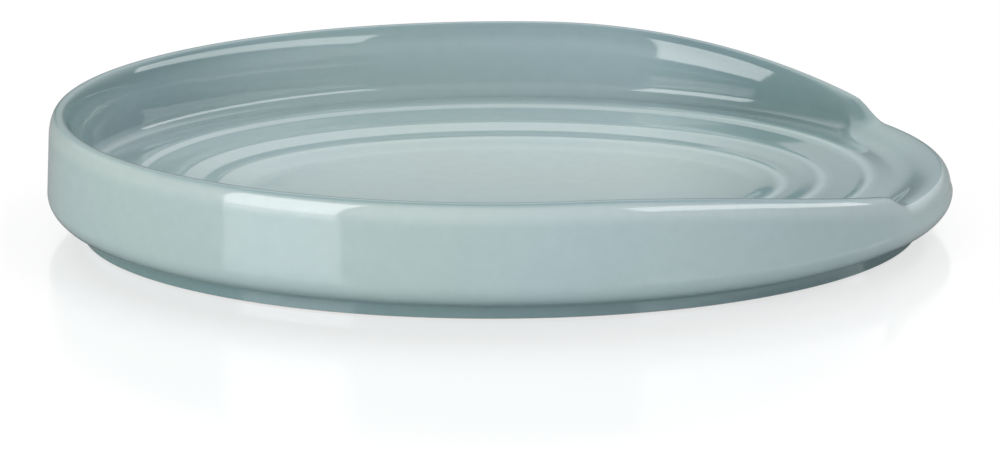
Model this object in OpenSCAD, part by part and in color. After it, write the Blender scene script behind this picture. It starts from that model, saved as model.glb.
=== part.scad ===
// Oval stoneware spoon rest: a low dish whose wall sweeps down to an open lip at one end of
// its long axis, with raised rings on its floor and a stepped-in foot ring under it.
// The origin is at the middle of the foot's resting face, +X points to the lip and +Z is up.

/* [Dish] */
// Length over the walls, along the lip's axis
dish_len = 150; // [130:1:200]
// Width over the walls
dish_w = 119; // [105:1:160]
// Height of the rim above the table, away from the lip
dish_h = 20.35; // [18:0.05:30]
// Height of the wall's widest line
belly_h = 7; // [6:0.1:9.5]
// Thickness of the wall below its rounded rim
rim_t = 4.1; // [3.4:0.1:5]
// Width of the rounding on the rim's outside
rim_crown = 1.5; // [1:0.1:1.8]
// Width of the rim's level top
rim_top = 0.6; // [0.3:0.05:1]
// Height of the rounding on the rim's outside, which is taller than it is wide
rim_rise = 4; // [2:0.1:5]
// How far the outside leans in between the widest line and the rim
wall_lean = 0.35; // [0:0.05:1.5]
// How much thicker the wall is at the floor than at the rim
wall_draft = 0.1; // [0:0.05:1]
// Radius of the cove between the wall and the floor
cove_r = 2.2; // [1:0.1:3]
// Depth of the hollow beside the wall below the outer ring's foot
hollow_drop = 0.8; // [0.2:0.05:1.2]

/* [Lip] */
// Height of the lip
lip_h = 10.4; // [9.8:0.1:12]
// Height of the widest line on the lip
lip_belly_h = 6.7; // [5:0.1:7]
// Width of the lip's level top, which its rounding leaves of the rim's
lip_top = 0.1; // [0.05:0.05:0.3]
// Height of the rounding on the lip's outside
lip_rise = 2.7; // [1.5:0.1:3.4]
// Inset from the widest line at which the lip's inner slope ends
lip_end = 8.55; // [8.3:0.05:10]
// Length of the lip, from its tip back to the middle of its shoulders
lip_len = 11.4; // [9:0.1:18]
// Run of each shoulder, where the rim drops to the lip
shoulder_run = 4.6; // [4:0.1:8]
// Height of the rim where it reaches the shoulders
shoulder_h = 13.4; // [12.5:0.1:16]
// Distance from the middle of the dish at which the rim starts to sweep down
sweep_start = 10.3; // [0:0.1:25]

/* [Rings] */
// Height of the outer ring's crest
ring_h = 9.1; // [8.2:0.1:9.4]
// How much lower each ring's crest is than the next one out
ring_drop = 0.7; // [0.3:0.05:0.8]
// Rise of each ring's crest above the terrace outside it
ridge_h = 0.04; // [0.02:0.02:0.3]
// Run of the rise to each crest
ridge_rise = 1; // [0.5:0.1:2.5]
// Run of the steep face inside the outer ring's crest
outer_run = 2; // [1.5:0.1:4]
// Run of the steep face inside the middle ring's crest
inner_run = 4.6; // [1.5:0.1:4.8]
// Inset of the outer ring's crest from the widest line
ring_inset = 13.95; // [13:0.05:16]
// Spacing from the outer ring to the middle ring
outer_pitch = 7.65; // [6:0.05:9]
// Spacing from the middle ring to the inner ring
inner_pitch = 6.7; // [6:0.05:9]
// Extra step across the width at each ring, which makes the inner rings slimmer ovals
ring_narrow = 1.1; // [0:0.1:2]
// Run of the slope from the inner ring down to the bowl in the middle
middle_run = 5; // [2:0.1:8]
// Depth of the bowl's edge below the inner ring's crest
middle_drop = 0.55; // [0.1:0.05:0.8]
// Depth of the shallow bowl in the middle, which starts at the inner crest
bowl_drop = 1.2; // [0.1:0.05:1.4]

/* [Foot] */
// Height of the foot ring below the wall's rounded lower edge
foot_h = 2.6; // [1.8:0.1:3.6]
// Step from the widest line in to the foot's side, and reach of the rounded lower edge
foot_inset = 5.75; // [4.5:0.05:8]
// Radius of the hollow between the foot's side and the wall
foot_cove = 0.7; // [0.3:0.05:1]
// Width of the foot's bare resting band
foot_w = 4; // [2.5:0.1:8]
// Height of the recess inside the foot ring
recess_h = 2; // [1:0.1:3]

/* [Glaze] */
// Thickness of the glaze
glaze_t = 0.4; // [0.2:0.05:0.5]
// Height of the bare clay below the glaze's lower edge
bare_h = 0.2; // [0.1:0.05:0.8]
// Bare margin between the recess wall and the glaze inside it
base_margin = 1.5; // [0.5:0.1:4]

/* [Hidden] */
clay_colour = "wheat";
glaze_colour = [0.68, 0.76, 0.76];

// Half sizes of the oval at the widest line
half_len = dish_len / 2;
half_w = dish_w / 2;
// Insets from the widest line: the rim's level top, wall bottom, end of the cove and ring crests
rim_mid = wall_lean + rim_crown;
rim_inner = rim_mid + rim_top;
wall_foot = wall_lean + rim_t + wall_draft;
cove_end = wall_foot + cove_r;
middle_ring = ring_inset + outer_pitch;
inner_ring = middle_ring + inner_pitch;
// Inset of the bowl's edge, and the bowl's half width
bowl_edge = inner_ring + middle_run;
bowl_half_w = half_w - bowl_edge - 2 * ring_narrow;
// Heights of the lower crests and of the bowl's middle
middle_ring_h = ring_h - ring_drop;
inner_ring_h = middle_ring_h - ring_drop;
bowl_h = inner_ring_h - middle_drop - bowl_drop;
// Heights of the outer ring's foot, of the hollow beside the wall and of the lip slope's end
strip_h = ring_h - ridge_h;
hollow_h = strip_h - hollow_drop;
lip_end_h = mix(hollow_h, strip_h, (lip_end - cove_end) / (ring_inset - ridge_rise - cove_end));
// Fall of the terraces between the rings, per length
terrace_slope = 0.055;
// Falls of the steep faces inside the outer and middle crests
outer_fall = ring_drop + ridge_h - terrace_slope * (outer_pitch - outer_run - ridge_rise);
inner_fall = ring_drop + ridge_h - terrace_slope * (inner_pitch - inner_run - ridge_rise);
// Share of the wall's height inside that the cove may take
cove_share = 0.5;
// Share of the wall's height above its widest line that the rim's rounding may take
crown_share = 0.85;
// Share of the lip's inner slope at which it is steepest
lip_turn = 0.7;
// Places along the length where each shoulder starts and ends
shoulder_start = half_len - lip_len - shoulder_run / 2;
shoulder_end = shoulder_start + shoulder_run;
// Inset of the clay foot's side, and of the recess inside it
clay_foot = foot_inset + glaze_t;
recess_inset = clay_foot + foot_w;
// Depth by which the recess cutter passes the resting face
cut_over = 1;
// Steps of the sections round one side: lip, shoulder, sweep and level rim
lip_steps = 4;
shoulder_steps = 6;
sweep_steps = 9;
level_steps = 15;
// Steps along the profile: the rise and the steep face of each ring, and the bowl
rise_steps = 2;
face_steps = 3;
bowl_steps = 3;

function mix(a, b, share) = a + (b - a) * share;
function clamp01(u) = max(0, min(1, u));
function ease(u) = let (c = clamp01(u)) c * c * (3 - 2 * c);
// Step from 0 to 1 in two parabolas, level at both ends and steepest at the turn
function bend(u, turn) = u < turn ? u * u / turn : 1 - (1 - u) * (1 - u) / (1 - turn);

// Share of the lip at a place along the length: 0 on the wall, 1 on the lip
function lip_share(x) = ease((x - shoulder_start) / shoulder_run);

// Height of the rim along the length: level, then a parabolic sweep, then the lip
function sweep_z(x) =
    let (u = max(0, x - sweep_start) / (shoulder_start - sweep_start))
    dish_h - (dish_h - shoulder_h) * u * u;
function rim_z(x) = mix(sweep_z(x), lip_h, lip_share(x));

// Profile points are [inset from the widest line, height], from the foot up and over to the middle.
// Outside: bare edge, hollow above the foot, rounded lower edge
function foot_side() = [
    [foot_inset, bare_h],
    for (a = [0:45:90])
        [foot_inset - foot_cove * (1 - cos(a)), foot_h - foot_cove * (1 - sin(a))]
];
function lower_edge(belly) = [
    for (a = [10:20:90])
        [foot_inset * (1 - sin(a)), belly - (belly - foot_h) * cos(a)]
];

// Rounding on the rim's outside, from the wall's side to the top
function crown(top, r, rise) = [
    for (a = [0:18:90])
        [wall_lean + r * (1 - cos(a)), top - rise * (1 - sin(a))]
];

// Inside of the full wall: one soft curve from the rim's level top, then the cove and the hollow
function wall_inside(top) =
    let (rise = min(cove_r, cove_share * (top - hollow_h)))
    let (wall_w = wall_foot - rim_inner)
    let (wall_h = top - hollow_h - rise)
    concat(
        [for (a = [90:-18:0]) [rim_inner + wall_w * cos(a), top - wall_h * (1 - sin(a))]],
        [for (a = [30:30:90]) [wall_foot + cove_r * (1 - cos(a)), hollow_h + rise * (1 - sin(a))]],
        [[lip_end, lip_end_h]]
    );

// Inside of the lip: one soft slope from its top to the floor
function lip_inside(top, steps) = [
    for (i = [0:steps])
        let (u = i / steps)
        [mix(rim_inner, lip_end, u), mix(top, lip_end_h, bend(u, lip_turn))]
];

// Ridge of a ring: its foot, the rise to the crest and the steep face inside it
function ridge(crest, crest_z, run, fall) = concat(
    [for (i = [0:rise_steps])
        let (u = i / rise_steps)
        [crest - ridge_rise * (1 - u), crest_z - ridge_h * (1 - ease(u))]],
    [for (i = [1:face_steps])
        let (u = i / face_steps)
        [crest + run * u, crest_z - fall * ease(u)]]
);
// How far the shallow bowl has dropped at an inset
function bowl_depth(d) =
    let (u = max(0, d - inner_ring) / (bowl_edge + bowl_half_w - inner_ring))
    bowl_drop * (1 - (1 - u) * (1 - u));
// Floor: strip that climbs from the hollow, sloping terraces between the ridges, then the bowl
function floor_rings() = [
    for (p = concat(
        ridge(ring_inset, ring_h, outer_run, outer_fall),
        ridge(middle_ring, middle_ring_h, inner_run, inner_fall),
        ridge(inner_ring, inner_ring_h, middle_run, middle_drop),
        [for (i = [1:bowl_steps - 1])
            [bowl_edge + bowl_half_w * i / bowl_steps, inner_ring_h - middle_drop]]
    ))
        [p[0], p[1] - bowl_depth(p[0])]
];

// Whole glazed profile at one angle round the oval
function glaze_profile(t) =
    let (x = (half_len - rim_mid) * cos(t))
    let (w = lip_share(x))
    let (top = rim_z(x))
    let (belly = mix(belly_h, lip_belly_h, w))
    let (r = rim_crown + rim_top - mix(rim_top, lip_top, w))
    let (rise = min(mix(rim_rise, lip_rise, w), crown_share * (top - belly)))
    let (inside = wall_inside(top))
    concat(
        foot_side(),
        lower_edge(belly),
        crown(top, r, rise),
        mix(inside, lip_inside(top, len(inside) - 1), w),
        floor_rings()
    );

// Clay profile: the glazed one moved inwards by the glaze's thickness
function outward(a, b) = let (u = (b - a) / norm(b - a)) [-u[1], u[0]];
function inset_profile(p, g) =
    let (last = len(p) - 1)
    [for (i = [0:last])
        let (n1 = outward(p[max(i, 1) - 1], p[max(i, 1)]))
        let (n2 = outward(p[min(i, last - 1)], p[min(i, last - 1) + 1]))
        p[i] - g * (n1 + n2) / (1 + n1 * n2)];

// Place of a profile point at one angle round the oval. The bowl shrinks to its middle in proportion.
function slimmer(d) = lookup(d, [
    [ring_inset, 0],
    [middle_ring, ring_narrow],
    [inner_ring, 2 * ring_narrow]
]);
function on_oval(t, p) =
    let (d = min(p[0], bowl_edge))
    let (share = 1 - (p[0] - d) / bowl_half_w)
    [
        (half_len - d) * share * cos(t),
        (half_w - d - slimmer(d)) * share * sin(t),
        p[1]
    ];

// Angles of the sections on one side, closest together on the shoulder
function spread(a, b, steps) = [for (i = [0:steps - 1]) mix(a, b, i / steps)];
function rim_angle(x) = acos(x / (half_len - rim_mid));
side_angles = concat(
    spread(0, rim_angle(shoulder_end), lip_steps),
    spread(rim_angle(shoulder_end), rim_angle(shoulder_start), shoulder_steps),
    spread(rim_angle(shoulder_start), 90, sweep_steps),
    spread(90, 180, level_steps)
);
angles = concat(side_angles, [180], [for (i = [len(side_angles) - 1:-1:1]) -side_angles[i]]);
sections = len(angles);

glaze_lines = [for (t = angles) glaze_profile(t)];
clay_lines = [for (line = glaze_lines) inset_profile(line, glaze_t)];
rows = len(glaze_lines[0]);

// Points of a surface, ring by ring, with a point in the middle at its own height
function surface_points(lines, middle_h) = concat(
    [for (j = [0:rows - 1]) for (i = [0:sections - 1]) on_oval(angles[i], lines[i][j])],
    [[0, 0, middle_h]]
);
glaze_points = surface_points(glaze_lines, bowl_h);
clay_points = surface_points(clay_lines, bowl_h - glaze_t);

// Triangles between two rings of points that start at indices a and b
function band(a, b) = [
    for (i = [0:sections - 1])
        let (k = (i + 1) % sections)
        each [[a + i, b + i, b + k], [a + i, b + k, a + k]]
];
// Triangles that close a ring of points on a middle point, facing up
function cap(ring, middle) = [
    for (i = [0:sections - 1]) [middle, ring + (i + 1) % sections, ring + i]
];
function flipped(faces) = [for (f = faces) [f[0], f[2], f[1]]];
// Triangles of a whole surface whose points start at an index, facing up and out
function surface_faces(first) = concat(
    [for (j = [0:rows - 2]) each band(first + j * sections, first + (j + 1) * sections)],
    cap(first + (rows - 1) * sections, first + rows * sections)
);

// Oval plate at an inset from the widest line
module oval_plate(inset, z, h) {
    translate([0, 0, z])
        linear_extrude(height = h)
            polygon([for (t = angles) [(half_len - inset) * cos(t), (half_w - inset) * sin(t)]]);
}

// Solid clay down to a flat resting face
module clay_solid() {
    foot_ring = [for (t = angles) on_oval(t, [clay_foot, 0])];
    first = sections + 1;
    polyhedron(
        points = concat(foot_ring, [[0, 0, 0]], clay_points),
        faces = concat(flipped(cap(0, sections)), band(0, first), surface_faces(first)),
        convexity = 8
    );
}

// Fired clay dish with its foot ring
module stoneware_body() {
    color(clay_colour)
        difference() {
            clay_solid();
            oval_plate(recess_inset, -cut_over, recess_h + cut_over);
        }
}

// One continuous coat over the inside, the rim and the outside down to the foot
module glaze_coat() {
    inner = rows * sections + 1;
    color(glaze_colour)
        polyhedron(
            points = concat(glaze_points, clay_points),
            faces = concat(surface_faces(0), flipped(surface_faces(inner)), band(inner, 0)),
            convexity = 8
        );
}

// Glaze on the ceiling of the recess inside the foot ring
module base_glaze() {
    color(glaze_colour)
        oval_plate(recess_inset + base_margin, recess_h - glaze_t, glaze_t);
}

stoneware_body();
glaze_coat();
base_glaze();
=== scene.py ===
"""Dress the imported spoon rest: smooth glaze over a bare clay foot, in a plain pale studio."""

import logging
import math
from collections.abc import Callable
from dataclasses import dataclass
from enum import Enum

import bpy
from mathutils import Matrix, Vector


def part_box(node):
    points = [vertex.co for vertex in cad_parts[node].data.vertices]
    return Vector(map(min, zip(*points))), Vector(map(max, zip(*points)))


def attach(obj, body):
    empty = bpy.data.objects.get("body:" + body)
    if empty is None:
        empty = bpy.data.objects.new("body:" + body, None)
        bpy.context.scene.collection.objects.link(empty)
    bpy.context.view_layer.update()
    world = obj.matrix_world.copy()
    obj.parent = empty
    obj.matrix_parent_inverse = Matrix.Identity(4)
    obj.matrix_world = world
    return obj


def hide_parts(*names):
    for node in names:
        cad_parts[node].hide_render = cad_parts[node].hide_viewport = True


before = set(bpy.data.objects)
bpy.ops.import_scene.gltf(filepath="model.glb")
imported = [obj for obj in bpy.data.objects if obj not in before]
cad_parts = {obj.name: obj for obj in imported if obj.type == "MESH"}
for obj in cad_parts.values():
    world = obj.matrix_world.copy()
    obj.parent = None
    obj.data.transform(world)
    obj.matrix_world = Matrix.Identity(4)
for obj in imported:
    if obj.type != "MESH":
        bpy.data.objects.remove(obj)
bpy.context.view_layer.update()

LOG = logging.getLogger("spoon_rest")
MM = 0.001
QUARTER = 90.0

Point = tuple[float, float]
Place = tuple[float, float, float]
Colour = tuple[float, float, float]
Socket = bpy.types.NodeSocket


def clamp(u: float) -> float:
    """Keep a number between 0 and 1."""
    return max(0.0, min(1.0, u))


def mix(a: float, b: float, share: float) -> float:
    """Blend two numbers, from a at share 0 to b at share 1."""
    return a + (b - a) * share


def ease(u: float) -> float:
    """Soft step from 0 to 1."""
    c = clamp(u)
    return c * c * (3.0 - 2.0 * c)


def bend(u: float, turn: float) -> float:
    """Step from 0 to 1 in two parabolas, level at both ends and steepest at the turn."""
    return u * u / turn if u < turn else 1 - (1 - u) ** 2 / (1 - turn)


def steps(first: float, last: float, count: int) -> list[float]:
    """Evenly spaced numbers from first to last, both included, with count gaps between them."""
    return [mix(first, last, i / count) for i in range(count + 1)]


def arc(first: float, last: float, count: int) -> list[float]:
    """Angles in radians, evenly spaced between two angles in degrees."""
    return [math.radians(angle) for angle in steps(first, last, count)]


def grey(level: float) -> Colour:
    """Colour with three equal parts."""
    return level, level, level


def direction(azimuth: float, elevation: float) -> Vector:
    """Unit vector from the dish, by degrees to the right of its front and above the table."""
    a, e = math.radians(azimuth), math.radians(elevation)
    return Vector((math.sin(a) * math.cos(e), -math.cos(a) * math.cos(e), math.sin(e)))


def oval_place(angle: float, halves: Point, height: float) -> Place:
    """Point of an oval in metres, from its angle and its half sizes and height in millimetres."""
    return halves[0] * math.cos(angle) * MM, halves[1] * math.sin(angle) * MM, height * MM


def ring_row(halves: Point, height: float) -> Place:
    """Half sizes and height of a ring in metres, from millimetres."""
    return halves[0] * MM, halves[1] * MM, height * MM


class Slot(Enum):
    """Material slots of the record that the pieces take their finish from."""

    GLAZE = "glaze"
    CLAY = "bare_stoneware"


class Blend(Enum):
    """How two colours mix in a material."""

    MIX = "MIX"
    MULTIPLY = "MULTIPLY"


class Reach(Enum):
    """What a studio light does: light the dish, show in its gloss, or both."""

    FULL = "full"
    FILL = "fill"
    GLINT = "glint"


@dataclass(frozen=True)
class DishSizes:
    """Sizes of the dish, in millimetres.

    A profile point is an inset from the widest line and a height above the table. The outer
    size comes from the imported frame.
    """

    length: float
    width: float
    height: float
    belly_h: float = 7.0
    rim_t: float = 4.1
    rim_crown: float = 1.5
    rim_top: float = 0.6
    rim_rise: float = 4.0
    wall_lean: float = 0.35
    wall_draft: float = 0.1
    cove_r: float = 2.2
    hollow_drop: float = 0.8
    cove_share: float = 0.5
    lip_h: float = 10.4
    lip_belly_h: float = 6.7
    lip_top: float = 0.1
    lip_rise: float = 2.7
    lip_turn: float = 0.55
    lip_end: float = 9.6
    lip_len: float = 11.4
    shoulder_run: float = 4.6
    shoulder_h: float = 13.4
    sweep_start: float = 10.3
    ring_h: float = 9.1
    ring_drop: float = 0.7
    ridge_h: float = 0.04
    ridge_rise: float = 1.0
    outer_run: float = 2.0
    inner_run: float = 4.6
    terrace_slope: float = 0.055
    crest_reach: float = 1.8
    ring_inset: float = 13.95
    outer_pitch: float = 7.65
    inner_pitch: float = 6.7
    ring_narrow: float = 1.1
    middle_run: float = 5.0
    middle_drop: float = 0.55
    bowl_drop: float = 1.2
    foot_h: float = 2.6
    foot_inset: float = 5.75
    foot_cove: float = 0.7
    foot_w: float = 4.0
    recess_h: float = 2.0
    glaze_t: float = 0.4
    bare_h: float = 0.2
    base_margin: float = 1.5

    @classmethod
    def from_frame(cls) -> "DishSizes":
        """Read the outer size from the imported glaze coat."""
        low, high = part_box("glaze_coat")
        return cls((high[0] - low[0]) / MM, (high[1] - low[1]) / MM, high[2] / MM)

    @property
    def rim_mid(self) -> float:
        """Inset of the outer edge of the rim's level top."""
        return self.wall_lean + self.rim_crown

    @property
    def rim_inner(self) -> float:
        """Inset of the inner edge of the rim's level top."""
        return self.rim_mid + self.rim_top

    @property
    def wall_foot(self) -> float:
        """Inset of the wall's inside where the cove starts."""
        return self.wall_lean + self.rim_t + self.wall_draft

    @property
    def cove_end(self) -> float:
        """Inset where the cove runs out on the floor."""
        return self.wall_foot + self.cove_r

    @property
    def hollow_h(self) -> float:
        """Lowest height of the hollow beside the wall."""
        return self.ring_h - self.ridge_h - self.hollow_drop

    @property
    def lip_end_h(self) -> float:
        """Height where the lip's slope ends, on the strip from the hollow to the outer ring.

        Returns:
            The height above the table.
        """
        strip_end = self.ring_inset - self.ridge_rise
        share = (self.lip_end - self.cove_end) / (strip_end - self.cove_end)
        return mix(self.hollow_h, self.ring_h - self.ridge_h, share)

    @property
    def lip_start(self) -> float:
        """Place along the length where the wall starts to turn into the lip."""
        return self.length / 2 - self.lip_len - self.shoulder_run / 2

    @property
    def crests(self) -> list[Point]:
        """Inset and height of each ring's crest.

        Returns:
            The crests, from the outer ring in.
        """
        middle = self.ring_inset + self.outer_pitch
        inner = middle + self.inner_pitch
        insets = [self.ring_inset, middle, inner]
        return [(d, self.ring_h - i * self.ring_drop) for i, d in enumerate(insets)]

    @property
    def faces(self) -> list[Point]:
        """Run and fall of the steep face inside each ring's crest.

        Returns:
            The faces, from the outer ring in.
        """
        faces = []
        for pitch, run in ((self.outer_pitch, self.outer_run), (self.inner_pitch, self.inner_run)):
            terrace = pitch - run - self.ridge_rise
            faces.append((run, self.ring_drop + self.ridge_h - self.terrace_slope * terrace))
        return [*faces, (self.middle_run, self.middle_drop)]

    @property
    def clay_foot(self) -> float:
        """Inset of the clay foot's side, under the glaze's edge."""
        return self.foot_inset + self.glaze_t

    @property
    def recess_inset(self) -> float:
        """Inset of the recess inside the foot ring."""
        return self.clay_foot + self.foot_w

    @property
    def bowl_edge(self) -> float:
        """Inset where the steep face of the inner ring ends."""
        return self.crests[-1][0] + self.middle_run

    @property
    def bowl_half_w(self) -> float:
        """Half width of the bowl inside that face."""
        return self.width / 2 - self.bowl_edge - 2 * self.ring_narrow

    def crest_share(self, inset: float) -> float:
        """How near an inset is to a ring's crest: 1 on it, 0 away from it."""
        return max(ease(1 - abs(inset - d) / self.crest_reach) for d, _ in self.crests)

    def lip_share(self, x: float) -> float:
        """Share of the lip at a place along the length: 0 on the wall, 1 on the lip."""
        return ease((x - self.lip_start) / self.shoulder_run)

    def rim_z(self, x: float) -> float:
        """Height of the rim at a place along the length.

        Args:
            x: The place, from the middle toward the lip.

        Returns:
            The height above the table.
        """
        u = max(0.0, x - self.sweep_start) / (self.lip_start - self.sweep_start)
        swept = self.height - (self.height - self.shoulder_h) * u * u
        return mix(swept, self.lip_h, self.lip_share(x))

    def bowl_depth(self, inset: float) -> float:
        """How far the bowl has dropped at an inset, from the inner ring's crest on.

        Args:
            inset: The inset.

        Returns:
            The drop, 0 outside the inner ring's crest.
        """
        start = self.crests[-1][0]
        u = max(0.0, inset - start) / (self.bowl_edge + self.bowl_half_w - start)
        return self.bowl_drop * (1 - (1 - u) ** 2)

    def even_halves(self, inset: float) -> Point:
        """Half length and half width of the outline moved in evenly, as on the foot."""
        return self.length / 2 - inset, self.width / 2 - inset

    def half_sizes(self, inset: float) -> Point:
        """Half length and half width of the oval at an inset above the foot.

        The rings get slimmer inwards, and in the bowl both sizes shrink alike.

        Args:
            inset: The inset.

        Returns:
            Both half sizes.
        """
        crests = self.crests
        edge = min(inset, self.bowl_edge)
        slimmer = 0.0
        for (d1, _), (d2, _) in zip(crests, crests[1:]):
            slimmer += self.ring_narrow * clamp((edge - d1) / (d2 - d1))
        share = 1 - (inset - edge) / self.bowl_half_w
        half_len, half_w = self.even_halves(edge)
        return half_len * share, (half_w - slimmer) * share


@dataclass(frozen=True)
class DishProfile:
    """Fine profile of the glazed surface, from the foot over the rim to the bowl's middle.

    The step counts say how finely each stretch is drawn, and lower_start is the angle, in
    degrees, at which the rounded lower edge comes out of the foot.
    """

    sizes: DishSizes
    foot_shares: tuple[float, ...] = (0.0, 0.1, 0.5)
    foot_steps: int = 6
    lower_start: float = 10.0
    lower_steps: int = 16
    wall_steps: int = 7
    crown_steps: int = 15
    inside_steps: int = 15
    cove_steps: int = 8
    terrace_steps: int = 4
    ridge_steps: int = 6
    face_steps: int = 10
    bowl_steps: int = 16

    def foot_side(self) -> list[Point]:
        """Lower edge of the glaze, the foot's side and the hollow above it.

        Returns:
            Profile points, upwards.
        """
        s = self.sizes
        cove_h = s.foot_h - s.foot_cove
        points = [(s.foot_inset, mix(s.bare_h, cove_h, u)) for u in self.foot_shares]
        for a in arc(0, QUARTER, self.foot_steps):
            inset = s.foot_inset - s.foot_cove * (1 - math.cos(a))
            points.append((inset, s.foot_h - s.foot_cove * (1 - math.sin(a))))
        return points

    def lower_edge(self, belly: float) -> list[Point]:
        """Rounded lower edge, from the foot to the widest line.

        Args:
            belly: Height of the widest line.

        Returns:
            Profile points, upwards.
        """
        s = self.sizes
        return [
            (s.foot_inset * (1 - math.sin(a)), belly - (belly - s.foot_h) * math.cos(a))
            for a in arc(self.lower_start, QUARTER, self.lower_steps)
        ]

    def wall_outside(self, belly: float, top: float, rise: float) -> list[Point]:
        """Straight outside of the wall, between the widest line and the rim's rounding.

        Args:
            belly: Height of the widest line.
            top: Height of the rim.
            rise: Height of the rim's rounding.

        Returns:
            Profile points, upwards, without both ends.
        """
        shares = steps(0, 1, self.wall_steps)[1:-1]
        return [(self.sizes.wall_lean * u, mix(belly, top - rise, u)) for u in shares]

    def crown(self, top: float, r: float, rise: float) -> list[Point]:
        """Outer quarter of the rim's rounding, taller than it is wide.

        Args:
            top: Height of the rim.
            r: Width of the rounding.
            rise: Height of the rounding.

        Returns:
            Profile points, upwards.
        """
        lean = self.sizes.wall_lean
        return [
            (lean + r * (1 - math.cos(a)), top - rise * (1 - math.sin(a)))
            for a in arc(0, QUARTER, self.crown_steps)
        ]

    def wall_inside(self, top: float) -> list[Point]:
        """Inside of the wall, one soft curve from the rim's top, and the cove at the floor.

        Args:
            top: Height of the rim.

        Returns:
            Profile points, downwards, up to where the lip's slope would end.
        """
        s = self.sizes
        rise = min(s.cove_r, s.cove_share * (top - s.hollow_h))
        wall_w = s.wall_foot - s.rim_inner
        wall_h = top - s.hollow_h - rise
        points = [(s.rim_inner, top)]
        for a in arc(QUARTER, 0, self.inside_steps)[1:]:
            points.append((s.rim_inner + wall_w * math.cos(a), top - wall_h * (1 - math.sin(a))))
        for a in arc(0, QUARTER, self.cove_steps)[1:]:
            inset = s.wall_foot + s.cove_r * (1 - math.cos(a))
            points.append((inset, s.hollow_h + rise * (1 - math.sin(a))))
        return [*points, (s.lip_end, s.lip_end_h)]

    def lip_inside(self, top: float, count: int) -> list[Point]:
        """One soft slope from the lip's top to the floor.

        Args:
            top: Height of the lip.
            count: How many points it has.

        Returns:
            Profile points, downwards.
        """
        s = self.sizes
        points = []
        for u in steps(0, 1, count - 1):
            height = mix(top, s.lip_end_h, bend(u, s.lip_turn))
            points.append((mix(s.rim_inner, s.lip_end, u), height))
        return points

    def floor(self) -> list[Point]:
        """Gently sloping terraces with a low ridge and a steep face at each ring, then the bowl.

        Returns:
            Profile points, inwards.
        """
        s = self.sizes
        points = []
        edge, level = s.lip_end, s.lip_end_h
        for (crest, crest_z), (run, fall) in zip(s.crests, s.faces):
            foot, foot_z = crest - s.ridge_rise, crest_z - s.ridge_h
            for u in steps(0, 1, self.terrace_steps)[1:]:
                points.append((mix(edge, foot, u), mix(level, foot_z, u)))
            for u in steps(0, 1, self.ridge_steps)[1:]:
                points.append((mix(foot, crest, u), mix(foot_z, crest_z, ease(u))))
            for u in steps(0, 1, self.face_steps)[1:]:
                points.append((crest + run * u, crest_z - fall * ease(u)))
            edge, level = points[-1]
        for u in steps(0, 1, self.bowl_steps)[1:-1]:
            points.append((s.bowl_edge + s.bowl_half_w * u, level))
        return [(d, z - s.bowl_depth(d)) for d, z in points]

    def at(self, angle: float) -> list[Point]:
        """Whole profile at one angle round the oval.

        Args:
            angle: Angle of the section, in radians, 0 at the lip.

        Returns:
            Profile points, as many at every angle.
        """
        s = self.sizes
        x = (s.length / 2 - s.rim_mid) * math.cos(angle)
        share = s.lip_share(x)
        top = s.rim_z(x)
        r = s.rim_crown + s.rim_top - mix(s.rim_top, s.lip_top, share)
        rise = mix(s.rim_rise, s.lip_rise, share)
        belly = mix(s.belly_h, s.lip_belly_h, share)
        wall = self.wall_inside(top)
        lip = self.lip_inside(top, len(wall))
        inside = [(mix(a[0], b[0], share), mix(a[1], b[1], share)) for a, b in zip(wall, lip)]
        return [
            *self.foot_side(),
            *self.lower_edge(belly),
            *self.wall_outside(belly, top, rise),
            *self.crown(top, r, rise),
            *inside,
            *self.floor(),
        ]


def outward(a: Point, b: Point) -> Point:
    """Unit vector that points out of the glaze, square to a profile step from a to b."""
    size = math.dist(a, b)
    return (a[1] - b[1]) / size, (b[0] - a[0]) / size


def inset_profile(points: list[Point], depth: float) -> list[Point]:
    """Move a profile inwards, to the surface that lies a coat's thickness under it.

    Args:
        points: Profile of the coat.
        depth: Thickness of the coat.

    Returns:
        Profile of the surface under the coat, point for point.
    """
    moved = []
    last = len(points) - 1
    for i, (d, z) in enumerate(points):
        before, after = max(i, 1), min(i, last - 1)
        n1 = outward(points[before - 1], points[before])
        n2 = outward(points[after], points[after + 1])
        reach = depth / (1 + n1[0] * n2[0] + n1[1] * n2[1])
        moved.append((d - reach * (n1[0] + n2[0]), z - reach * (n1[1] + n2[1])))
    return moved


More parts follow.
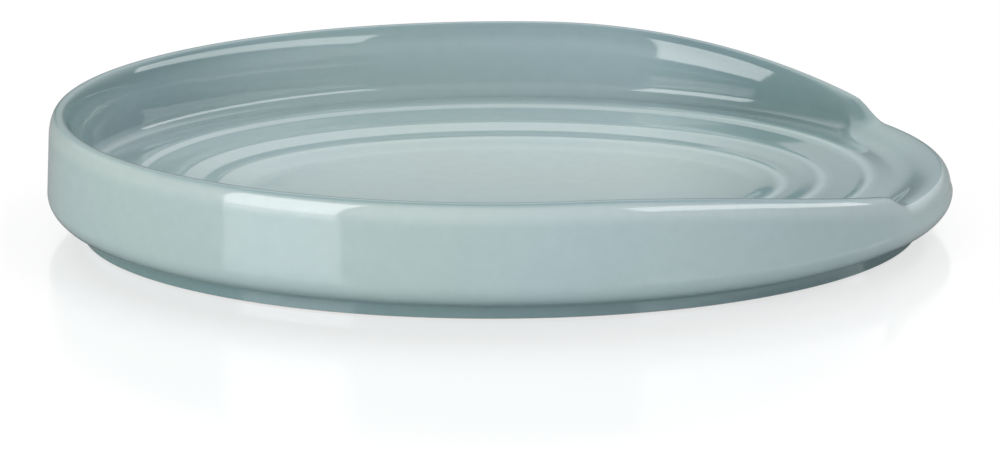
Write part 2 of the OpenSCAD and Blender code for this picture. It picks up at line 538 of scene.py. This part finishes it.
@dataclass
class OvalLoft:
    """A round piece raised ring by ring from a circle, as on a wheel, then swept to its place.

    A row is a ring's half length, half width and height, in metres. Where the rings aren't
    level, place gives every ring's point at one angle.
    """

    name: str
    rows: list[Place]
    place: Callable[[float], list[Place]] | None = None
    close_start: bool = False
    count: int = 288

    def model(self) -> bpy.types.Object:
        """Extrude the circle through all rows, sweep it and close it at the middle.

        Returns:
            The new mesh object, at the origin.
        """
        bpy.ops.object.select_all(action="DESELECT")
        bpy.ops.mesh.primitive_circle_add(vertices=self.count, radius=1.0, fill_type="NOTHING")
        piece = bpy.context.active_object
        piece.name = self.name
        piece.data.name = self.name
        bpy.ops.object.mode_set(mode="EDIT")
        bpy.ops.mesh.select_all(action="SELECT")
        self._shape((1.0, 1.0, 0.0), self.rows[0])
        for old, new in zip(self.rows, self.rows[1:]):
            bpy.ops.mesh.extrude_edges_move()
            self._shape(old, new)
        bpy.ops.object.mode_set(mode="OBJECT")
        if self.place:
            self._sweep(piece)
        self._merge_ring(piece, len(self.rows) - 1)
        if self.close_start:
            self._merge_ring(piece, 0)
        self._face_out(piece)
        return piece

    def _shape(self, old: Place, new: Place) -> None:
        """Resize and lift the selected ring.

        Args:
            old: Its half sizes and height.
            new: The half sizes and height that it gets.
        """
        share = (new[0] / old[0], new[1] / old[1], 1.0)
        bpy.ops.transform.resize(value=share, center_override=(0.0, 0.0, 0.0))
        bpy.ops.transform.translate(value=(0.0, 0.0, new[2] - old[2]))

    def _sweep(self, piece: bpy.types.Object) -> None:
        """Move every ring's points to their place at their own angle round the oval.

        Args:
            piece: The piece, with its rings in order.
        """
        turn = 2 * math.pi / self.count
        columns = [self.place(i * turn) for i in range(self.count)]
        for vertex in piece.data.vertices:
            row = vertex.index // self.count
            half_len, half_w, _ = self.rows[row]
            angle = math.atan2(vertex.co.y / half_w, vertex.co.x / half_len)
            vertex.co = columns[round(angle / turn) % self.count][row]

    def _merge_ring(self, piece: bpy.types.Object, row: int) -> None:
        """Merge a ring into a pole.

        Args:
            piece: The piece.
            row: The ring's number.
        """
        bpy.ops.object.mode_set(mode="EDIT")
        bpy.ops.mesh.select_all(action="DESELECT")
        bpy.ops.object.mode_set(mode="OBJECT")
        for i in range(row * self.count, (row + 1) * self.count):
            piece.data.vertices[i].select = True
        bpy.ops.object.mode_set(mode="EDIT")
        bpy.ops.mesh.merge(type="CENTER")
        bpy.ops.object.mode_set(mode="OBJECT")

    def _face_out(self, piece: bpy.types.Object) -> None:
        """Face the normals out; on an open piece, the face nearest the middle looks up.

        Args:
            piece: The piece, with its poles merged.
        """
        bpy.ops.object.mode_set(mode="EDIT")
        bpy.ops.mesh.select_all(action="SELECT")
        bpy.ops.mesh.normals_make_consistent(inside=False)
        bpy.ops.object.mode_set(mode="OBJECT")
        middle = min(piece.data.polygons, key=lambda face: face.center.xy.length)
        if middle.normal.z < 0 and not self.close_start:
            bpy.ops.object.mode_set(mode="EDIT")
            bpy.ops.mesh.flip_normals()
            bpy.ops.object.mode_set(mode="OBJECT")


class NodeTree:
    """A node tree, with short calls to add nodes and join them.

    The mix node has sockets of one name for each kind of data, so its colours go by number.
    """

    COLOUR_A = 6
    COLOUR_B = 7
    COLOUR_OUT = 2

    def __init__(self, tree: bpy.types.NodeTree) -> None:
        """Take the tree over.

        Args:
            tree: The tree of a material or of the world.
        """
        self.nodes = tree.nodes
        self.links = tree.links

    def add(self, kind: str, **inputs: float) -> bpy.types.Node:
        """Add a node and set its sockets.

        Args:
            kind: The node's type.
            inputs: Values by socket name, with _ for spaces.

        Returns:
            The node.
        """
        node = self.nodes.new(kind)
        for key, value in inputs.items():
            node.inputs[key.replace("_", " ")].default_value = value
        return node

    def join(self, source: Socket, target: Socket) -> None:
        """Link one socket to another."""
        self.links.new(source, target)

    def ramp(self, source: Socket, stops: list[tuple[float, Colour]]) -> Socket:
        """Colour ramp, driven by a number.

        Args:
            source: The number.
            stops: Position and colour of each stop, in order.

        Returns:
            The ramp's colour.
        """
        node = self.add("ShaderNodeValToRGB")
        elements = node.color_ramp.elements
        while len(elements) < len(stops):
            elements.new(1.0)
        for element, (position, colour) in zip(elements, stops):
            element.position = position
            element.color = (*colour, 1.0)
        self.join(source, node.inputs["Fac"])
        return node.outputs["Color"]

    def blend(
        self, share: Socket | float, a: Socket | Colour, b: Socket | Colour, mode: Blend = Blend.MIX
    ) -> Socket:
        """Mix two colours.

        Args:
            share: Share of the second colour.
            a: The first colour.
            b: The second colour.
            mode: How they mix.

        Returns:
            The mixed colour.
        """
        node = self.nodes.new("ShaderNodeMix")
        node.data_type = "RGBA"
        node.blend_type = mode.value
        if isinstance(share, Socket):
            self.join(share, node.inputs["Factor"])
        else:
            node.inputs["Factor"].default_value = share
        for number, colour in ((self.COLOUR_A, a), (self.COLOUR_B, b)):
            if isinstance(colour, Socket):
                self.join(colour, node.inputs[number])
            else:
                node.inputs[number].default_value = (*colour, 1.0)
        return node.outputs[self.COLOUR_OUT]

    def spread(self, source: Socket, low: float, high: float) -> Socket:
        """Map a number from 0..1 to low..high.

        Args:
            source: The number.
            low: What 0 becomes.
            high: What 1 becomes.

        Returns:
            The mapped number.
        """
        node = self.add("ShaderNodeMapRange", To_Min=low, To_Max=high)
        self.join(source, node.inputs["Value"])
        return node.outputs["Result"]

    def fade(self, source: Socket, first: float, last: float) -> Socket:
        """Soft step from 0 to 1.

        Args:
            source: The number that drives it.
            first: Where the step starts.
            last: Where it ends.

        Returns:
            The step.
        """
        node = self.add("ShaderNodeMapRange", From_Min=first, From_Max=last)
        node.interpolation_type = "SMOOTHSTEP"
        self.join(source, node.inputs["Value"])
        return node.outputs["Result"]

    def larger(self, a: Socket, b: Socket) -> Socket:
        """The larger of two numbers.

        Args:
            a: The first number.
            b: The second number.

        Returns:
            The larger one.
        """
        node = self.nodes.new("ShaderNodeMath")
        node.operation = "MAXIMUM"
        for source, target in zip((a, b), node.inputs):
            self.join(source, target)
        return node.outputs["Value"]


class Shader(NodeTree):
    """A material's node tree, with its Principled shader at hand."""

    def __init__(self, name: str) -> None:
        """Start a material with a Principled shader.

        Args:
            name: Name of the material.
        """
        self.material = bpy.data.materials.new(name)
        self.material.use_nodes = True
        super().__init__(self.material.node_tree)
        self.surface = self.nodes["Principled BSDF"]
        self.output = self.nodes["Material Output"]

    def noise(self, scale: float, detail: float, roughness: float = 0.5) -> Socket:
        """Noise on object coordinates.

        Args:
            scale: How often it repeats in a metre.
            detail: How many finer layers it has.
            roughness: How strong the finer layers are.

        Returns:
            The noise, from 0 to 1.
        """
        place = self.add("ShaderNodeTexCoord")
        node = self.add("ShaderNodeTexNoise", Scale=scale, Detail=detail, Roughness=roughness)
        self.join(place.outputs["Object"], node.inputs["Vector"])
        return node.outputs["Fac"]

    def bump(self, height: Socket, depth: float, strength: float) -> None:
        """Roughen the surface.

        Args:
            height: The relief, from 0 to 1.
            depth: Its depth in metres.
            strength: How much of it shows.
        """
        node = self.add("ShaderNodeBump", Distance=depth, Strength=strength)
        self.join(height, node.inputs["Height"])
        self.join(node.outputs["Normal"], self.surface.inputs["Normal"])


@dataclass(frozen=True)
class GlazeFinish:
    """Glossy pale glaze, coloured from pale to deep by a value on each point that holds its own tone
    together with painted shade and painted light.

    Scales are per metre. The drift is a slow change of hue, the cloud is fine mottling, and the
    ripple is a faint relief.
    """

    name: str = "sea_mist_glaze"
    tone_and_shade_layer: str = "glaze_tone_and_shade"
    pale: Colour = (0.42, 0.5, 0.49)
    middle: Colour = (0.31, 0.41, 0.412)
    deep: Colour = (0.195, 0.285, 0.29)
    middle_depth: float = 0.5
    green_drift: Colour = (0.98, 1.0, 0.97)
    blue_drift: Colour = (0.98, 0.99, 1.05)
    drift_scale: float = 14.0
    drift_band: Point = (0.35, 0.65)
    cloud_dim: float = 0.975
    cloud_bright: float = 1.02
    cloud_scale: float = 420.0
    cloud_detail: float = 4.0
    cloud_roughness: float = 0.6
    cloud_band: Point = (0.3, 0.7)
    ior: float = 1.52
    roughness: float = 0.06
    roughness_change: float = 0.3
    roughness_scale: float = 260.0
    soft_detail: float = 2.0
    ripple_scale: float = 180.0
    ripple_detail: float = 1.0
    ripple_depth: float = 0.00004
    ripple_strength: float = 0.25

    def material(self) -> bpy.types.Material:
        """Make the glaze's material.

        Returns:
            The material.
        """
        shader = Shader(self.name)
        # The value on each point holds the glaze's own tone and also painted shade and painted light.
        depth = shader.add("ShaderNodeAttribute")
        depth.attribute_name = self.tone_and_shade_layer
        tones = [(0.0, self.pale), (self.middle_depth, self.middle), (1.0, self.deep)]
        colour = shader.ramp(depth.outputs["Fac"], tones)
        drifts = list(zip(self.drift_band, (self.green_drift, self.blue_drift)))
        drift = shader.ramp(shader.noise(self.drift_scale, self.soft_detail), drifts)
        colour = shader.blend(1.0, colour, drift, Blend.MULTIPLY)
        mottle = shader.noise(self.cloud_scale, self.cloud_detail, self.cloud_roughness)
        clouds = list(zip(self.cloud_band, (grey(self.cloud_dim), grey(self.cloud_bright))))
        colour = shader.blend(1.0, colour, shader.ramp(mottle, clouds), Blend.MULTIPLY)
        shader.join(colour, shader.surface.inputs["Base Color"])
        smooth_part = self.roughness * (1 - self.roughness_change)
        rough_part = self.roughness * (1 + self.roughness_change)
        patches = shader.noise(self.roughness_scale, self.soft_detail)
        rough = shader.spread(patches, smooth_part, rough_part)
        shader.join(rough, shader.surface.inputs["Roughness"])
        shader.surface.inputs["IOR"].default_value = self.ior
        ripple = shader.noise(self.ripple_scale, self.ripple_detail)
        shader.bump(ripple, self.ripple_depth, self.ripple_strength)
        return shader.material


@dataclass(frozen=True)
class ClayFinish:
    """Bare fired stoneware: matte buff clay with fine grog. Scales are per metre."""

    name: str = "bare_stoneware"
    body: Colour = (0.52, 0.43, 0.32)
    dark: Colour = (0.4, 0.32, 0.23)
    tone_scale: float = 120.0
    tone_detail: float = 5.0
    tone_band: Point = (0.3, 0.7)
    grog: Colour = (0.22, 0.16, 0.11)
    grog_scale: float = 1900.0
    grog_detail: float = 1.0
    grog_band: Point = (0.66, 0.74)
    roughness: float = 0.85
    roughness_change: float = 0.08
    roughness_scale: float = 900.0
    roughness_detail: float = 2.0
    grain_scale: float = 2600.0
    grain_detail: float = 4.0
    grain_depth: float = 0.0001
    grain_strength: float = 0.5

    def material(self) -> bpy.types.Material:
        """Make the clay's material.

        Returns:
            The material.
        """
        shader = Shader(self.name)
        tones = list(zip(self.tone_band, (self.dark, self.body)))
        tone = shader.ramp(shader.noise(self.tone_scale, self.tone_detail), tones)
        shares = list(zip(self.grog_band, (grey(0.0), grey(1.0))))
        specks = shader.ramp(shader.noise(self.grog_scale, self.grog_detail), shares)
        shader.join(shader.blend(specks, tone, self.grog), shader.surface.inputs["Base Color"])
        low, high = self.roughness - self.roughness_change, self.roughness + self.roughness_change
        patches = shader.noise(self.roughness_scale, self.roughness_detail)
        shader.join(shader.spread(patches, low, high), shader.surface.inputs["Roughness"])
        grain = shader.noise(self.grain_scale, self.grain_detail)
        shader.bump(grain, self.grain_depth, self.grain_strength)
        return shader.material


def dress(piece: bpy.types.Object, material: bpy.types.Material, node: str) -> None:
    """Give a piece its material, hang it under the root body and hide the CAD node that it replaces.

    Args:
        piece: The finished piece.
        material: Its material.
        node: The CAD node that it replaces.
    """
    piece.data.materials.clear()
    piece.data.materials.append(material)
    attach(piece, "root")
    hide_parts(node)


def smooth(piece: bpy.types.Object, angle: float = 40.0) -> None:
    """Shade a piece smooth.

    Args:
        piece: The piece.
        angle: Edges past this angle, in degrees, stay sharp.
    """
    bpy.ops.object.select_all(action="DESELECT")
    piece.select_set(True)
    bpy.context.view_layer.objects.active = piece
    bpy.ops.object.shade_smooth_by_angle(angle=math.radians(angle))


@dataclass(frozen=True)
class GlazeToneAndShade:
    """How pale or deep the glaze looks, from 0, pale, to 1, deep: its own tone, deeper inside than outside,
    with painted shade and painted light laid into it.

    Turns are degrees round the rim's rounding, from its outside up. Other places are in
    millimetres: a start along the length counts from the dish's middle, and the inside reaches
    out past the rim's top by inside_rim and down from the outer ring by inside_drop.
    """

    outside: float = 0.28
    # Painted shade: darker towards the foot under the rounded lower edge, darkest on the foot under the
    # overhanging wall.
    lower_edge: float = 0.85
    foot: float = 1.0
    foot_margin: float = 0.1
    # The rim's top and the upper inside wall are deeper: partly the inside glaze's own tone, partly painted
    # shade where little light falls from above.
    rim: float = 0.85
    # The outer crown is paler than the wall: partly thinner glaze over the edge, partly painted light on
    # its upward face.
    thin_and_lit_turn: float = 35.0
    rim_shade_turn: float = 55.0
    rim_shade_run: float = 25.0
    wall_top_tone_and_shade: float = 0.75
    wall: float = 0.42
    wall_top_shade_h: float = 1.0
    wall_shade_fade: float = 3.0
    floor: float = 0.42
    crest: float = 0.3
    inside_rim: float = 0.4
    inside_drop: float = 4.0
    # Painted shade: the inside of the wall is deeper at the closed end.
    closed_end_shade: float = 0.3
    closed_end_shade_h: float = 1.0
    closed_end_shade_start: float = 30.0
    closed_end_shade_run: float = 35.0
    # Painted shade: the inside is deeper towards the lip, less on the rings' crests.
    lip_end_shade: float = 0.7
    lip_crest_shade: float = 0.25
    lip_start: float = 20.0
    lip_shade_run: float = 34.0
    # Painted light: the lip's outside is paler.
    lip_outside_light: float = 0.1


@dataclass
class GlazeCoat:
    """Continuous glaze over the inside, the rim and the outside of the dish."""

    sizes: DishSizes
    finish: GlazeFinish
    tone_and_shade: GlazeToneAndShade = GlazeToneAndShade()

    @property
    def profile(self) -> DishProfile:
        """Profile of the glazed surface."""
        return DishProfile(self.sizes)

    def column(self, angle: float) -> list[Place]:
        """Places of the glazed profile at one angle, in metres."""
        points = self.profile.at(angle)
        return [oval_place(angle, self.sizes.half_sizes(inset), z) for inset, z in points]

    def level_rows(self) -> list[Place]:
        """Half sizes and height of each ring of the level dish, from the foot on, in metres."""
        points = self.profile.at(math.pi)
        return [ring_row(self.sizes.half_sizes(inset), z) for inset, z in points]

    def build(self) -> bpy.types.Object:
        """Model the coat, give it its thickness and dress it.

        Returns:
            The finished coat.
        """
        loft = OvalLoft("glaze_skin", self.level_rows(), self.column)
        piece = loft.model()
        self.mark_tone_and_shade(piece, loft.count)
        coat = piece.modifiers.new("coat", "SOLIDIFY")
        coat.thickness = self.sizes.glaze_t * MM
        coat.offset = -1.0
        coat.use_even_offset = True
        bpy.ops.object.modifier_apply(modifier=coat.name)
        smooth(piece)
        dress(piece, self.finish.material(), "glaze_coat")
        return piece

    def row_tone_and_shade(self, inset: float, z: float, top: float) -> float:
        """Tone of the glaze on one row at the closed end: its own tone, with painted shade on the foot, the
        lower edge and the rim's top, and partly painted light on the crown.

        Args:
            inset: Inset of the row.
            z: Height of the row.
            top: Height of the rim.

        Returns:
            The tone, 0 pale to 1 deep.
        """
        s, tone_and_shade = self.sizes, self.tone_and_shade
        # Painted shade on the foot and the lower edge, under the overhanging wall.
        if z < s.foot_h + tone_and_shade.foot_margin:
            return tone_and_shade.foot
        if z < s.belly_h and inset < s.foot_inset:
            return mix(tone_and_shade.outside, tone_and_shade.lower_edge, inset / s.foot_inset)
        if inset > s.cove_end:
            return mix(tone_and_shade.floor, tone_and_shade.crest, s.crest_share(inset))
        # Upper inside wall deeper: partly own tone, partly painted shade below the rim.
        if inset >= s.rim_mid:
            return mix(tone_and_shade.wall_top_tone_and_shade, tone_and_shade.wall, ease((top - z - tone_and_shade.wall_top_shade_h) / tone_and_shade.wall_shade_fade))
        if z < top - s.rim_rise:
            return tone_and_shade.outside
        # Paler over the crown's outer side: partly thinner glaze, partly painted light.
        turn = math.degrees(math.acos(clamp(1 - (inset - s.wall_lean) / s.rim_crown)))
        thinned_and_lit = tone_and_shade.outside * (1 - ease(turn / tone_and_shade.thin_and_lit_turn))
        # Deeper on the rim's top: partly the inside glaze's own tone, partly painted shade.
        return thinned_and_lit + tone_and_shade.rim * ease((turn - tone_and_shade.rim_shade_turn) / tone_and_shade.rim_shade_run)

    def tone_and_shade_along(self, row: Point, depth: float, x: float) -> float:
        """Tone of the glaze at one place of a row, with painted shade inside at both ends of the dish and
        painted light on the lip's outside.

        Args:
            row: Inset and height of the row at the closed end.
            depth: Tone of the row at the closed end, before the painted shade at the ends.
            x: Place along the length.

        Returns:
            The tone there.
        """
        s, tone_and_shade = self.sizes, self.tone_and_shade
        inset, z = row
        # Painted shade inside towards the lip and on the walls at the closed end.
        if inset > s.rim_mid - tone_and_shade.inside_rim and z > s.ring_h - tone_and_shade.inside_drop:
            end_shade = mix(tone_and_shade.lip_end_shade, tone_and_shade.lip_crest_shade, s.crest_share(inset))
            depth += end_shade * ease((x - tone_and_shade.lip_start) / tone_and_shade.lip_shade_run)
            if z > s.ring_h + tone_and_shade.closed_end_shade_h:
                depth += tone_and_shade.closed_end_shade * ease((-x - tone_and_shade.closed_end_shade_start) / tone_and_shade.closed_end_shade_run)
            return min(1.0, depth)
        # Painted light: the outside is paler towards the lip.
        if z > s.foot_h + tone_and_shade.foot_margin:
            return mix(depth, min(depth, tone_and_shade.lip_outside_light), s.lip_share(x))
        return depth

    def mark_tone_and_shade(self, piece: bpy.types.Object, count: int) -> None:
        """Write the glaze's tone, with its painted shade and painted light, on every point.

        Args:
            piece: The surface of the coat.
            count: How many points a ring has.
        """
        rows = self.profile.at(math.pi)
        top = max(z for _, z in rows)
        row_tones_and_shade = [self.row_tone_and_shade(inset, z, top) for inset, z in rows]
        layer = piece.data.attributes.new(self.finish.tone_and_shade_layer, "FLOAT", "POINT")
        for vertex in piece.data.vertices:
            row = min(vertex.index // count, len(rows) - 1)
            depth = self.tone_and_shade_along(rows[row], row_tones_and_shade[row], vertex.co.x / MM)
            layer.data[vertex.index].value = depth


@dataclass
class StonewareBody:
    """Fired clay under the glaze, with its bare foot ring and the recess inside it.

    Sizes are millimetres. The reaches are the insets of the recess's rings from its edge.
    """

    sizes: DishSizes
    finish: ClayFinish
    arris: float = 0.35
    recess_fillet: float = 0.9
    outer_arris_share: float = 0.8
    recess_reaches: tuple[float, ...] = (44.0, 30.0, 15.0, 5.0)
    band_shares: tuple[float, ...] = (0.3, 0.5, 0.7)
    arc_steps: int = 5

    def underside(self) -> list[Point]:
        """Profile of the bare underside, from the recess's middle to the foot's side.

        Returns:
            Profile points, outwards.
        """
        s = self.sizes
        top, inner = s.recess_h, s.recess_inset
        fillet, arris = self.recess_fillet, self.arris
        outer_arris = s.bare_h * self.outer_arris_share
        quarter = arc(0, QUARTER, self.arc_steps)
        points = [(inner + reach, top) for reach in self.recess_reaches]
        for a in quarter:
            points.append((inner + fillet * (1 - math.sin(a)), top - fillet * (1 - math.cos(a))))
        for a in quarter:
            points.append((inner - arris * (1 - math.cos(a)), arris * (1 - math.sin(a))))
        points += [(mix(inner, s.clay_foot, u), 0.0) for u in self.band_shares]
        for a in quarter:
            inset = s.clay_foot + outer_arris * (1 - math.sin(a))
            points.append((inset, outer_arris * (1 - math.cos(a))))
        return points

    def column(self, angle: float) -> list[Place]:
        """Places of the clay's profile at one angle.

        Args:
            angle: The angle, in radians.

        Returns:
            The places, in metres.
        """
        s = self.sizes
        glazed = inset_profile(DishProfile(s).at(angle), s.glaze_t)
        places = []
        for inset, height in self.underside() + glazed:
            halves = s.half_sizes(inset) if height > s.foot_h else s.even_halves(inset)
            places.append(oval_place(angle, halves, height))
        return places

    def build(self) -> bpy.types.Object:
        """Model the clay body and dress it.

        Returns:
            The finished body.
        """
        lip_end, side = self.column(0.0), self.column(math.pi / 2)
        rows = [(along[0], across[1], along[2]) for along, across in zip(lip_end, side)]
        piece = OvalLoft("clay_body", rows, self.column, close_start=True).model()
        smooth(piece)
        dress(piece, self.finish.material(), "stoneware_body")
        return piece


@dataclass
class BaseGlaze:
    """Thin glaze on the ceiling of the recess, with a soft edge.

    The reaches are the insets, in millimetres, of the upper and lower faces' rings from the
    edge, and depth is how deep the glaze looks.
    """

    sizes: DishSizes
    finish: GlazeFinish
    depth: float = 0.5
    upper_reaches: tuple[float, ...] = (45.0, 20.0, 0.0)
    lower_reaches: tuple[float, ...] = (3.0, 20.0, 45.0)
    edge_steps: int = 6

    def rows(self) -> list[Place]:
        """Half sizes and height of each ring of the plate, in metres.

        Returns:
            The rings, from the upper face over the edge to the lower face.
        """
        s = self.sizes
        outer = s.recess_inset + s.base_margin
        profile = [(outer + reach, s.recess_h) for reach in self.upper_reaches]
        for a in arc(0, QUARTER, self.edge_steps)[1:]:
            inset = outer + s.glaze_t * (1 - math.cos(a))
            profile.append((inset, s.recess_h - s.glaze_t * math.sin(a)))
        profile += [(outer + reach, s.recess_h - s.glaze_t) for reach in self.lower_reaches]
        return [ring_row(s.even_halves(inset), height) for inset, height in profile]

    def build(self) -> bpy.types.Object:
        """Model the plate of glaze and dress it.

        Returns:
            The finished plate.
        """
        piece = OvalLoft("base_glaze_plate", self.rows(), close_start=True).model()
        layer = piece.data.attributes.new(self.finish.tone_and_shade_layer, "FLOAT", "POINT")
        for value in layer.data:
            value.value = self.depth
        smooth(piece)
        dress(piece, self.finish.material(), "base_glaze")
        return piece


@dataclass(frozen=True)
class Softbox:
    """A rectangular studio light that faces the dish.

    Its place is an azimuth, in degrees to the right of straight in front of the dish, an
    elevation in degrees and a distance in metres.
    """

    name: str
    azimuth: float
    elevation: float
    distance: float
    width: float
    height: float
    radiance: float
    reach: Reach = Reach.FULL

    def build(self, target: Vector) -> None:
        """Add the light.

        Args:
            target: The point that it faces.
        """
        back = direction(self.azimuth, self.elevation)
        bpy.ops.object.light_add(type="AREA", location=target + back * self.distance)
        light = bpy.context.active_object
        light.name = self.name
        light.rotation_euler = (-back).to_track_quat("-Z", "Y").to_euler()
        light.data.shape = "RECTANGLE"
        light.data.size = self.width
        light.data.size_y = self.height
        light.data.energy = self.radiance * math.pi * self.width * self.height
        light.visible_camera = False
        light.visible_glossy = self.reach is not Reach.FILL
        light.visible_diffuse = self.reach is not Reach.GLINT


# Direction of the main light. Its glint stands a little nearer, because of two lights in one
# plane only one would show in the gloss.
KEY_AZIMUTH = -47.5
KEY_ELEVATION = 19.0
SOFTBOXES = (
    Softbox("key_softbox", KEY_AZIMUTH, KEY_ELEVATION, distance=1.1, width=0.56, height=0.75, radiance=3.8),
    Softbox(
        "key_glint", KEY_AZIMUTH, KEY_ELEVATION,
        distance=1.05, width=0.535, height=0.716, radiance=1.8, reach=Reach.GLINT,
    ),
    Softbox(
        "side_glint", azimuth=66.5, elevation=25.0,
        distance=1.2, width=1.71, height=0.36, radiance=4.6, reach=Reach.GLINT,
    ),
    Softbox(
        "front_fill", azimuth=-22.0, elevation=12.0,
        distance=1.3, width=1.2, height=0.6, radiance=2.0, reach=Reach.FILL,
    ),
    Softbox(
        "top_fill", azimuth=90.0, elevation=52.0,
        distance=1.5, width=1.2, height=1.2, radiance=2.0, reach=Reach.FILL,
    ),
)


@dataclass
class Studio:
    """Plain pale floor, soft lights, dim surroundings with two pale walls, and the camera.

    A wall is a list of elevations, in degrees, with its brightness there. It fades in between
    its side and its face, which say how far a direction points to the back, from -1 to 1. The
    camera's place is given as a softbox's is, and lengths are metres.
    """

    ambient: float = 0.2
    back_wall: tuple[Point, ...] = (
        (0.0, 0.15), (9.0, 0.3), (13.0, 0.6), (21.0, 1.0),
        (29.0, 1.5), (37.0, 1.8), (60.0, 1.7), (72.0, 0.25),
    )
    back_side: float = 0.0
    back_face: float = 0.45
    front_wall: tuple[Point, ...] = ((0.0, 0.75), (32.0, 0.75), (50.0, 0.2))
    front_side: float = -0.25
    front_face: float = -0.75
    softboxes: tuple[Softbox, ...] = SOFTBOXES
    floor_size: float = 12.0
    floor_tone: Colour = (0.86, 0.86, 0.86)
    floor_shown: Colour = (0.22, 0.22, 0.22)
    floor_lift: float = 0.66
    floor_drop: float = 0.00002
    floor_roughness: float = 0.13
    azimuth: float = -2.08
    elevation: float = 15.55
    distance: float = 1.3333
    focus_height: float = 0.01
    clip: Point = (0.01, 50.0)
    pixels_per_metre: float = 6036.0
    image_width: int = 1000
    image_height: int = 449
    focus_pixel: Point = (500.38, 168.97)

    def build(self) -> None:
        """Set up the whole studio."""
        self.set_view()
        self.build_world()
        self.build_floor()
        target = Vector((0.0, 0.0, self.focus_height))
        for softbox in self.softboxes:
            softbox.build(target)
        self.build_camera(target)

    def set_view(self) -> None:
        """Show colours as they are, with no film look."""
        bpy.context.scene.view_settings.view_transform = "Standard"

    def build_world(self) -> None:
        """Dim surroundings with a pale wall behind the dish and one in front of it."""
        world = bpy.data.worlds.new("studio_surroundings")
        bpy.context.scene.world = world
        world.use_nodes = True
        tree = NodeTree(world.node_tree)
        background = tree.nodes["Background"]
        place = tree.add("ShaderNodeTexCoord")
        split = tree.add("ShaderNodeSeparateXYZ")
        tree.join(place.outputs["Generated"], split.inputs["Vector"])
        peak = max(level for _, level in self.back_wall)
        background.inputs["Strength"].default_value = peak
        shade = grey(self.ambient / peak)
        for wall, side, face in (
            (self.back_wall, self.back_side, self.back_face),
            (self.front_wall, self.front_side, self.front_face),
        ):
            stops = [(math.sin(math.radians(angle)), grey(level / peak)) for angle, level in wall]
            tone = tree.ramp(split.outputs["Z"], stops)
            share = tree.fade(split.outputs["Y"], side, face)
            shade = tree.blend(share, shade, tone)
        tree.join(shade, background.inputs["Color"])

    def build_floor(self) -> None:
        """Pale, slightly glossy table that keeps the dish's shadow and is clear from below."""
        bpy.ops.object.select_all(action="DESELECT")
        bpy.ops.mesh.primitive_plane_add(size=self.floor_size, location=(0.0, 0.0, -self.floor_drop))
        floor = bpy.context.active_object
        floor.name = "floor"
        shader = Shader("pale_table")
        shader.surface.inputs["Roughness"].default_value = self.floor_roughness
        shader.surface.inputs["Emission Color"].default_value = (*grey(1.0), 1.0)
        path = shader.add("ShaderNodeLightPath")
        mirrored = shader.larger(path.outputs["Is Glossy Ray"], path.outputs["Is Transmission Ray"])
        seen = shader.larger(path.outputs["Is Camera Ray"], mirrored)
        tone = shader.blend(seen, self.floor_tone, self.floor_shown)
        shader.join(tone, shader.surface.inputs["Base Color"])
        lift = shader.spread(path.outputs["Is Camera Ray"], 0.0, self.floor_lift)
        shader.join(lift, shader.surface.inputs["Emission Strength"])
        side = shader.add("ShaderNodeNewGeometry")
        clear = shader.add("ShaderNodeBsdfTransparent")
        sided = shader.add("ShaderNodeMixShader")
        sources = (side.outputs["Backfacing"], shader.surface.outputs["BSDF"], clear.outputs["BSDF"])
        for source, target in zip(sources, sided.inputs):
            shader.join(source, target)
        shader.join(sided.outputs["Shader"], shader.output.inputs["Surface"])
        floor.data.materials.append(shader.material)

    def build_camera(self, target: Vector) -> None:
        """Place the camera at the photograph's angle, with the target on its own pixel.

        Args:
            target: The point of the dish that the framing was measured at.
        """
        back = direction(self.azimuth, self.elevation)
        bpy.ops.object.camera_add(location=target + back * self.distance)
        camera = bpy.context.active_object
        camera.name = "photo_camera"
        pixels = self.pixels_per_metre * self.distance
        camera.data.lens = camera.data.sensor_width * pixels / self.image_width
        camera.data.clip_start, camera.data.clip_end = self.clip
        a = math.radians(self.azimuth)
        right = Vector((math.cos(a), math.sin(a), 0.0))
        up = right.cross(-back)
        across = (self.image_width / 2 - self.focus_pixel[0]) / pixels
        down = (self.image_height / 2 - self.focus_pixel[1]) / pixels
        aim = -back + right * across - up * down
        camera.rotation_euler = aim.to_track_quat("-Z", "Y").to_euler()
        bpy.context.scene.camera = camera


def main() -> None:
    """Build the studio and every piece of the dish in order, and report the pieces."""
    logging.basicConfig(level=logging.INFO, format="%(name)s: %(message)s")
    sizes = DishSizes.from_frame()
    glaze = GlazeFinish()
    Studio().build()
    pieces = [
        GlazeCoat(sizes, glaze).build(),
        StonewareBody(sizes, ClayFinish()).build(),
        BaseGlaze(sizes, glaze).build(),
    ]
    for piece in pieces:
        LOG.info("%s: %d faces", piece.name, len(piece.data.polygons))


if __name__ == "__main__":
    main()
